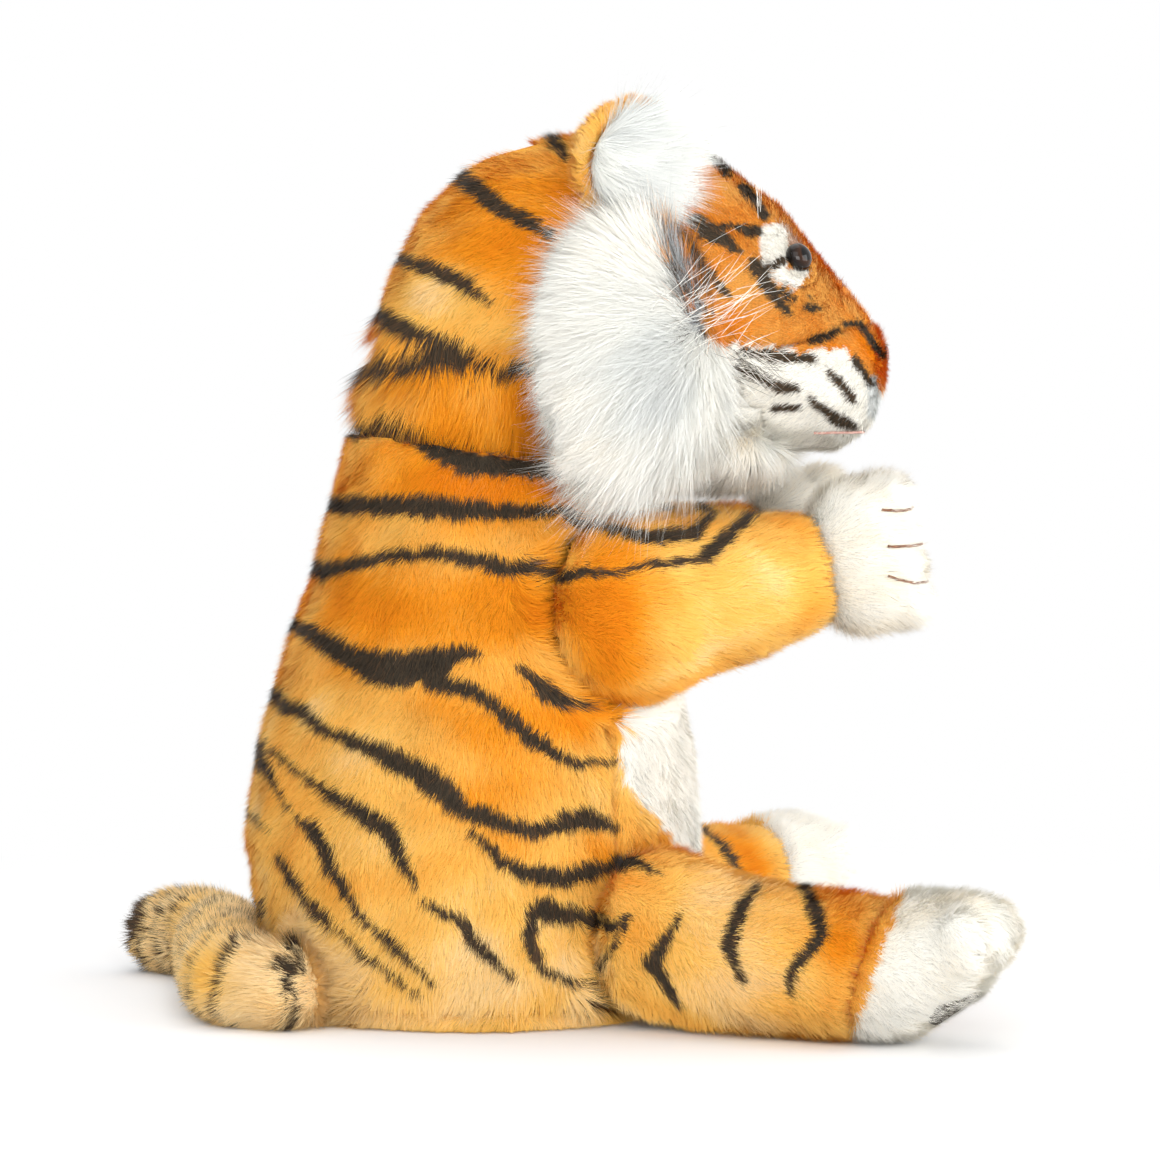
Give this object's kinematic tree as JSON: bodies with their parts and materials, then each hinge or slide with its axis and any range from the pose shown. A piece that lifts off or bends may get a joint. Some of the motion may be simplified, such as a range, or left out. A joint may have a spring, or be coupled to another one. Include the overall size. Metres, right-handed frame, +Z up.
{
  "type": "tiger hand puppet",
  "caption": "Plush tiger hand puppet: a lined glove body, a head that nods and turns on a finger, finger arms with paws, stuffed hind legs and a curled tail.",
  "frame": {"origin": "middle of the bounding box on the surface that the hem, legs and tail rest on", "axes": "+Z up from hem to ears, +X the way the tiger's body faces, +Y to the tiger's left"},
  "size_m": [0.2388, 0.2524, 0.269],
  "materials": {
    "orange_plush": "orange plush with dark stripes",
    "white_plush": "white long pile plush",
    "dark_plush": "dark short pile plush",
    "lining": "woven lining cloth",
    "stuffing": "soft fibre fill",
    "nose_satin": "satin",
    "eye_plastic": "polished",
    "washer_plastic": "matte"
  },
  "bodies": {
    "torso": {"right_side_panel": "orange_plush", "left_side_panel": "orange_plush", "belly_panel": "white_plush", "glove_lining": "lining", "hem_band": "orange_plush"},
    "neck": {"neck_band": "lining"},
    "head": {"head_skin": "orange_plush", "muzzle_panel": "white_plush", "chin_panel": "white_plush", "head_stuffing": "stuffing", "finger_pocket": "lining", "nose": "nose_satin", "throat_ruff": "white_plush", "right_cheek_ruff": "white_plush", "left_cheek_ruff": "white_plush", "right_ear_back": "orange_plush", "left_ear_back": "orange_plush", "right_ear_front": "white_plush", "left_ear_front": "white_plush", "right_eye": "eye_plastic", "left_eye": "eye_plastic", "right_eye_washer": "washer_plastic", "left_eye_washer": "washer_plastic", "right_eye_patch": "white_plush", "left_eye_patch": "white_plush"},
    "right_armhole": {"right_armhole_band": "lining"},
    "left_armhole": {"left_armhole_band": "lining"},
    "right_arm": {"right_arm_sleeve": "orange_plush", "right_finger_sleeve": "lining", "right_front_paw": "white_plush", "right_front_paw_stuffing": "stuffing"},
    "left_arm": {"left_arm_sleeve": "orange_plush", "left_finger_sleeve": "lining", "left_front_paw": "white_plush", "left_front_paw_stuffing": "stuffing"},
    "right_leg": {"right_leg_skin": "orange_plush", "right_hind_paw": "white_plush", "right_leg_stuffing": "stuffing", "right_sole_pad": "dark_plush"},
    "left_leg": {"left_leg_skin": "orange_plush", "left_hind_paw": "white_plush", "left_leg_stuffing": "stuffing", "left_sole_pad": "dark_plush"},
    "tail": {"tail_skin": "orange_plush", "tail_tip": "dark_plush", "tail_stuffing": "stuffing"}
  },
  "joints": [
    {"name": "head_turn", "type": "hinge", "parent": "torso", "child": "neck", "pos_m": [-0.02275, 0, 0.182], "axis": [0, 0, 1], "range_deg": [-25, 25], "stiffness_Nm_per_rad": 0.6},
    {"name": "head_nod", "type": "hinge", "parent": "neck", "child": "head", "pos_m": [-0.02275, 0, 0.182], "axis": [-0.1736, -0.9848, 0], "range_deg": [-4, 20], "stiffness_Nm_per_rad": 2},
    {"name": "right_arm_hug", "type": "hinge", "parent": "torso", "child": "right_armhole", "pos_m": [0.01742, -0.04008, 0.122], "axis": [0, 0, 1], "range_deg": [-25, 10], "stiffness_Nm_per_rad": 0.3},
    {"name": "right_arm_lift", "type": "hinge", "parent": "right_armhole", "child": "right_arm", "pos_m": [0.01742, -0.04008, 0.122], "axis": [0, -1, 0], "range_deg": [-40, 5], "stiffness_Nm_per_rad": 0.6},
    {"name": "left_arm_hug", "type": "hinge", "parent": "torso", "child": "left_armhole", "pos_m": [0.01742, 0.04008, 0.122], "axis": [0, 0, -1], "range_deg": [-25, 10], "stiffness_Nm_per_rad": 0.3},
    {"name": "left_arm_lift", "type": "hinge", "parent": "left_armhole", "child": "left_arm", "pos_m": [0.01742, 0.04008, 0.122], "axis": [0, -1, 0], "range_deg": [-40, 5], "stiffness_Nm_per_rad": 0.6},
    {"name": "right_leg_swing", "type": "hinge", "parent": "torso", "child": "right_leg", "pos_m": [0.03115, -0.05645, 0.021], "axis": [-0.5736, -0.8192, 0], "range_deg": [-50, 15], "stiffness_Nm_per_rad": 0.4},
    {"name": "left_leg_swing", "type": "hinge", "parent": "torso", "child": "left_leg", "pos_m": [0.03115, 0.05645, 0.021], "axis": [0.5736, -0.8192, 0], "range_deg": [-50, 15], "stiffness_Nm_per_rad": 0.4},
    {"name": "tail_swing", "type": "hinge", "parent": "torso", "child": "tail", "pos_m": [-0.06675, -0.023, 0.01247], "axis": [0, 0, 1], "range_deg": [0, 35], "stiffness_Nm_per_rad": 0.1}
  ]
}
